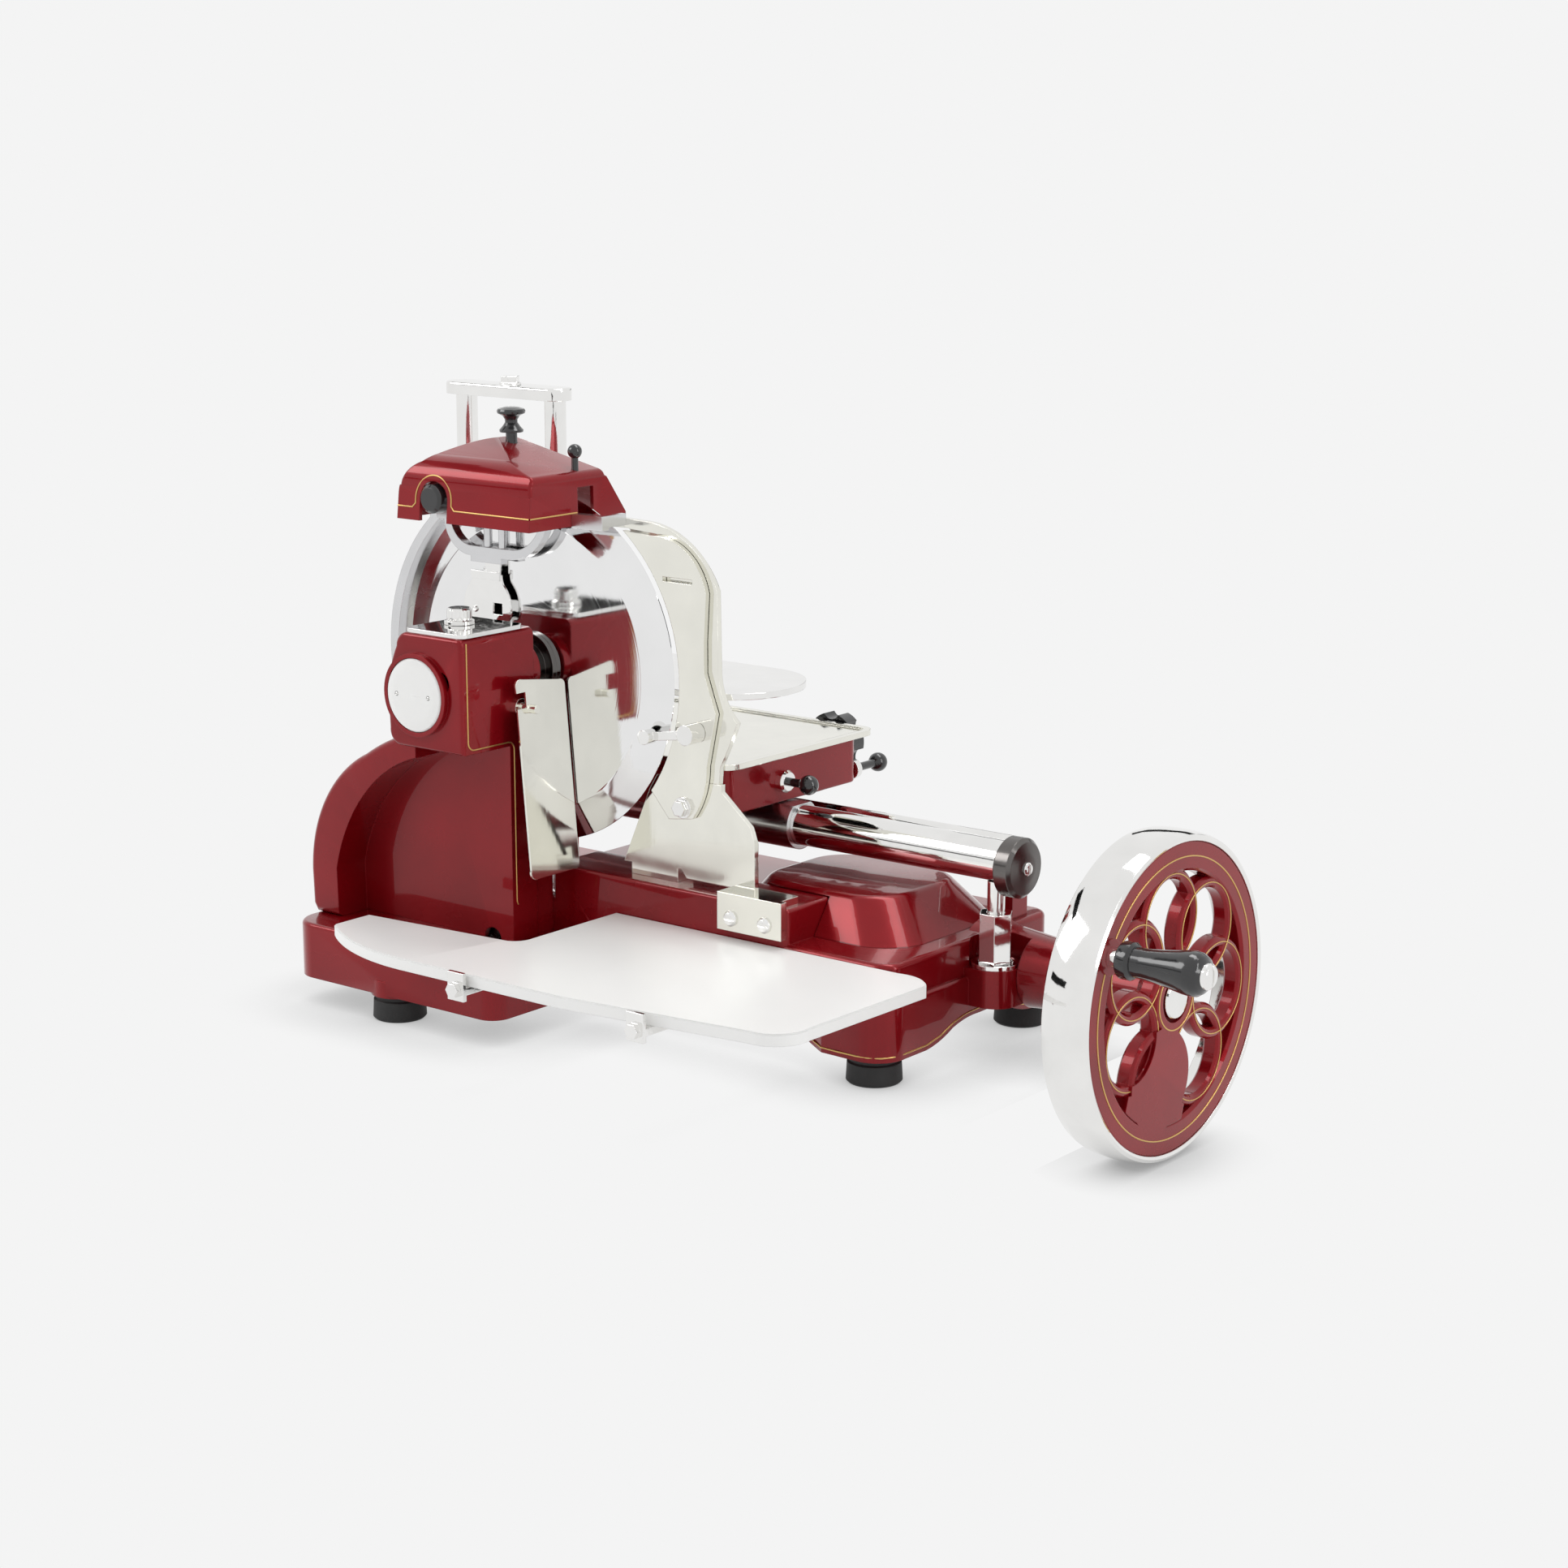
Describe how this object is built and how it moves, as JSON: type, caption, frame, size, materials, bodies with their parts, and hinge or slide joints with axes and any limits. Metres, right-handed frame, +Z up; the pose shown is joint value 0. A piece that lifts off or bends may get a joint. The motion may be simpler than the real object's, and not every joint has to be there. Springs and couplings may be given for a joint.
{
  "type": "hand crank meat slicer",
  "caption": "Counter-top meat slicer driven by a flywheel crank: round blade in a guard, sharpener hood above, sliding carriage with food clamp, thickness gauge and slice board.",
  "frame": {"origin": "on the plane that the feet stand on, straight under the centre of the blade", "axes": "+X along the machine to the flywheel, +Y to the carriage side, +Z up"},
  "size_m": [0.707, 0.4247, 0.4906],
  "materials": {
    "alloy": "satin",
    "black_knob": "gloss",
    "blade_steel": "ground and polished",
    "chrome": "polished",
    "dark_steel": "oiled",
    "red_enamel": "gloss",
    "rubber": "matte",
    "stainless": "fine satin",
    "stone": "grit",
    "white_badge": "gloss",
    "white_board": "smooth"
  },
  "bodies": {
    "stand": {"base_casting": "red_enamel", "rubber_feet": "rubber", "gear_cover": "red_enamel", "drip_tray": "white_board", "tray_arms": "chrome", "tower_body": "red_enamel", "badge_cap": "white_badge", "tower_lid": "chrome", "drive_chain": "dark_steel", "shaft_housing": "red_enamel", "guide_bar": "chrome", "bar_cap": "dark_steel", "bar_post": "chrome", "rail_supports": "red_enamel", "rear_rail": "chrome", "guard_plate": "stainless", "guard_bracket": "stainless", "ring_guard": "alloy", "deflector": "stainless", "sharpener_cover": "red_enamel", "stone_cradle": "alloy", "stone_shield": "chrome", "slotted_screws": "chrome", "back_stone": "stone"},
    "flywheel": {"flywheel_disc": "red_enamel", "flywheel_rim": "chrome", "flywheel_nut": "chrome", "shaft_collar": "chrome", "drive_shaft": "dark_steel", "drive_pinion": "dark_steel", "crank_pin": "chrome"},
    "crank_handle": {"crank_grip": "black_knob", "grip_cap": "chrome"},
    "lay_drive": {"lay_shaft": "dark_steel"},
    "blade_unit": {"blade": "blade_steel", "blade_hub": "dark_steel", "blade_bolt": "stainless", "blade_shaft": "dark_steel"},
    "crank_wheel": {"crank_gear": "dark_steel"},
    "carriage": {"carriage_slide": "alloy"},
    "roller": {"carriage_roller": "dark_steel"},
    "table": {"table_frame": "red_enamel", "table_plate": "stainless", "lock_bosses": "chrome", "clamp_columns": "chrome", "clamp_bridge": "chrome"},
    "feed": {"feed_knob": "black_knob"},
    "front_lever": {"front_lock_lever": "black_knob"},
    "rear_lever": {"rear_lock_lever": "black_knob"},
    "press": {"press_slide": "alloy", "press_plate": "chrome"},
    "press_lock": {"press_knob": "black_knob"},
    "gauge": {"gauge_plate": "stainless", "gauge_bolt": "chrome"},
    "gauge_handle": {"gauge_lever": "chrome"},
    "lid_lock": {"lid_knob": "chrome"},
    "honing_button": {"mushroom_knob": "black_knob"},
    "cover_lock": {"side_knob": "black_knob"},
    "grinding_button": {"sharpening_knob": "black_knob", "front_stone": "stone"}
  },
  "joints": [
    {"name": "flywheel_spin", "type": "hinge", "parent": "stand", "child": "flywheel", "pos_m": [0.454, 0.118, 0.0596], "axis": [1, 0, 0], "continuous": true},
    {"name": "crank_grip_spin", "type": "hinge", "parent": "flywheel", "child": "crank_handle", "pos_m": [0.5, 0.03652, 0.10607], "axis": [1, 0, 0], "continuous": true},
    {"name": "lay_shaft_spin", "type": "hinge", "parent": "stand", "child": "lay_drive", "pos_m": [0, 0.05, 0.0596], "axis": [0, 1, 0], "continuous": true},
    {"name": "blade_spin", "type": "hinge", "parent": "stand", "child": "blade_unit", "pos_m": [0, 0, 0.248], "axis": [0, 1, 0], "continuous": true},
    {"name": "crank_gear_spin", "type": "hinge", "parent": "stand", "child": "crank_wheel", "pos_m": [0.225, 0.118, 0.09], "axis": [0, 0, 1], "continuous": true},
    {"name": "carriage_slide", "type": "slide", "parent": "stand", "child": "carriage", "axis": [1, 0, 0], "range_m": [-0.11, 0.11]},
    {"name": "roller_spin", "type": "hinge", "parent": "carriage", "child": "roller", "pos_m": [0.035, 0.15, 0.1491], "axis": [0, 1, 0], "range_deg": [-800, 800]},
    {"name": "table_feed", "type": "slide", "parent": "carriage", "child": "table", "axis": [0, 1, 0], "range_m": [0, 0.04]},
    {"name": "feed_knob_turn", "type": "hinge", "parent": "table", "child": "feed", "pos_m": [0.118, 0.183, 0.178], "axis": [0, 1, 0], "range_deg": [0, 720]},
    {"name": "front_lock_turn", "type": "hinge", "parent": "table", "child": "front_lever", "pos_m": [0.157, 0.085, 0.17], "axis": [1, 0, 0], "range_deg": [-90, 90]},
    {"name": "rear_lock_turn", "type": "hinge", "parent": "table", "child": "rear_lever", "pos_m": [0.142, 0.182, 0.1615], "axis": [0, 1, 0], "range_deg": [-90, 90]},
    {"name": "press_height", "type": "slide", "parent": "table", "child": "press", "axis": [0, 0, 1], "range_m": [-0.034, 0.09]},
    {"name": "press_lock_turn", "type": "hinge", "parent": "press", "child": "press_lock", "pos_m": [-0.094, 0.09, 0.253], "axis": [0, 1, 0], "range_deg": [0, 180]},
    {"name": "gauge_slide", "type": "slide", "parent": "stand", "child": "gauge", "axis": [0, -1, 0], "range_m": [0, 0.006]},
    {"name": "gauge_lever_turn", "type": "hinge", "parent": "gauge", "child": "gauge_handle", "pos_m": [0.144, -0.006, 0.217], "axis": [0, 1, 0], "range_deg": [0, 60]},
    {"name": "lid_knob_turn", "type": "hinge", "parent": "stand", "child": "lid_lock", "pos_m": [-0.016, -0.062, 0.283], "axis": [0, 0, 1], "range_deg": [0, 720]},
    {"name": "honing_press", "type": "slide", "parent": "stand", "child": "honing_button", "axis": [0, 0, -1], "range_m": [0, 0.0035], "stiffness_N_per_m": 300},
    {"name": "grinding_press", "type": "slide", "parent": "stand", "child": "grinding_button", "axis": [0, 1, 0], "range_m": [0, 0.0035], "stiffness_N_per_m": 300},
    {"name": "cover_lock_turn", "type": "hinge", "parent": "stand", "child": "cover_lock", "pos_m": [0.044, -0.008, 0.39], "axis": [0, 0, 1], "range_deg": [0, 90]}
  ],
  "couplings": [
    {"joint": "lay_shaft_spin", "follows": "flywheel_spin", "ratio": 2},
    {"joint": "blade_spin", "follows": "flywheel_spin", "ratio": 2},
    {"joint": "crank_gear_spin", "follows": "flywheel_spin", "ratio": 1.2857},
    {"joint": "roller_spin", "follows": "carriage_slide", "rad_per_m": 125},
    {"joint": "feed_knob_turn", "follows": "table_feed", "rad_per_m": 314.1},
    {"joint": "gauge_lever_turn", "follows": "gauge_slide", "rad_per_m": 174.5}
  ]
}
